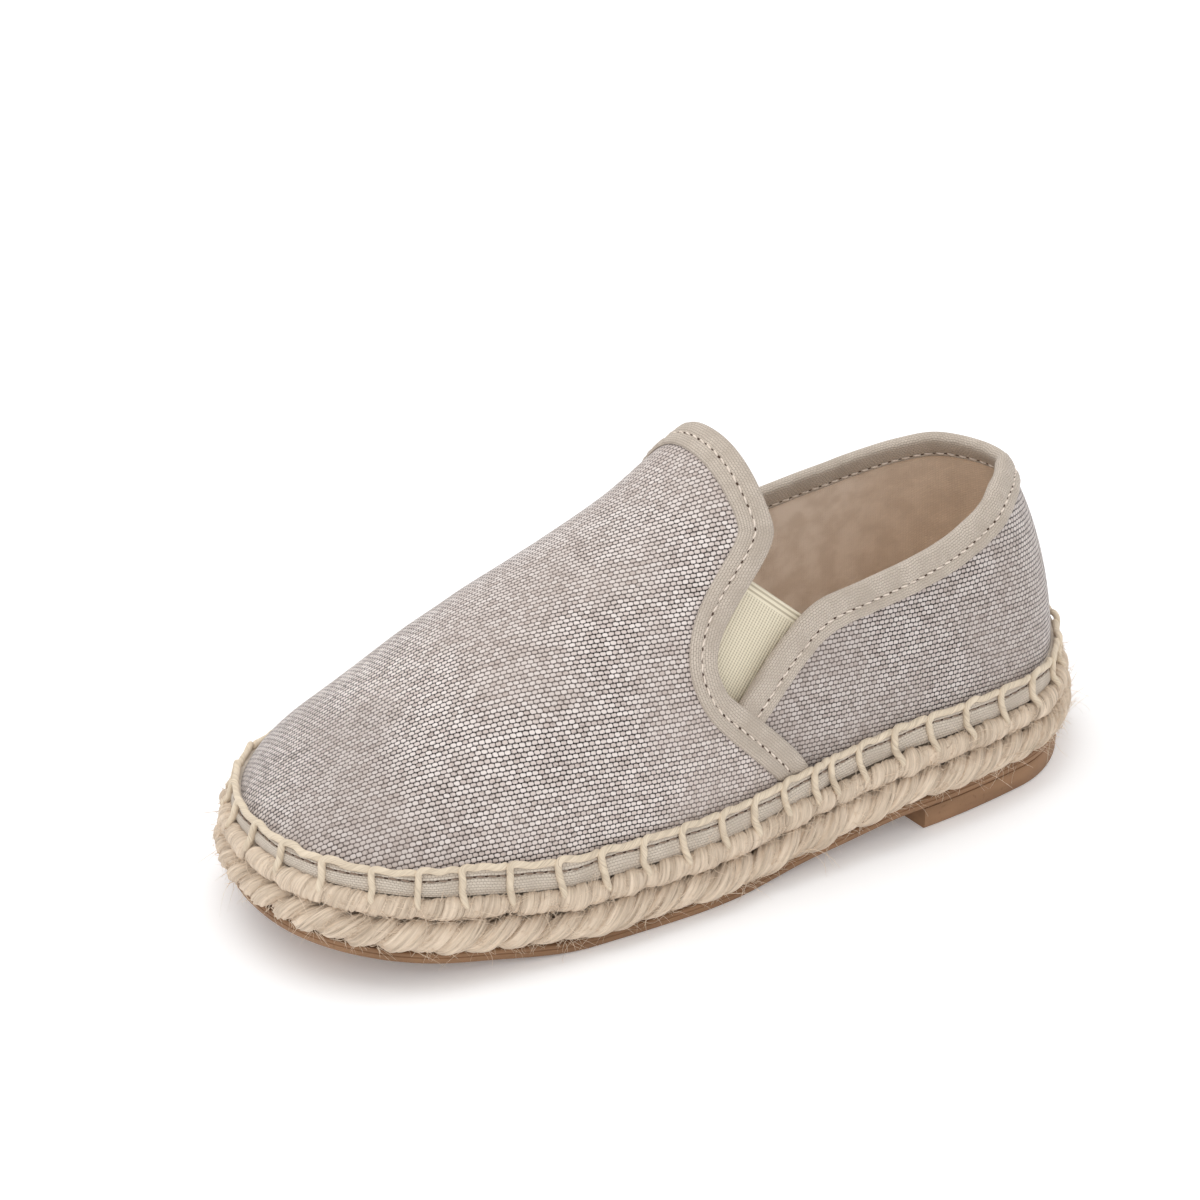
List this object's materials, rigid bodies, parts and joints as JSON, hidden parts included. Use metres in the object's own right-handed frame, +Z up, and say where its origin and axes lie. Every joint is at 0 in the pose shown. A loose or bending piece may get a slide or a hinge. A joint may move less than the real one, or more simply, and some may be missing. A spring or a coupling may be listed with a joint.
{
  "type": "espadrille",
  "caption": "Child's left slip-on espadrille: canvas upper with tape-bound collar and throat, elastic side gores, braided jute sole, thin rubber outsole and heel lift.",
  "frame": {"origin": "on the floor under the middle of the shoe's plan outline", "axes": "+X to the toe, +Y to the wearer's left, which is this left shoe's outer side, +Z up"},
  "size_m": [0.19, 0.0786, 0.0805],
  "materials": {
    "canvas": "matte plain weave",
    "cotton_tape": "matte tape",
    "elastic": "matte ribbed elastic",
    "foxing_cotton": "matte",
    "lining": "matte",
    "jute": "matte twisted jute",
    "rubber": "satin"
  },
  "bodies": {
    "root": {"upper": "canvas", "vamp_binding": "cotton_tape", "collar_binding": "cotton_tape", "gore_lateral": "elastic", "gore_medial": "elastic", "foxing": "foxing_cotton", "insole": "lining", "jute_sole": "jute", "braid_lower": "jute", "braid_upper": "jute", "outsole": "rubber", "heel_lift": "rubber"}
  },
  "joints": []
}
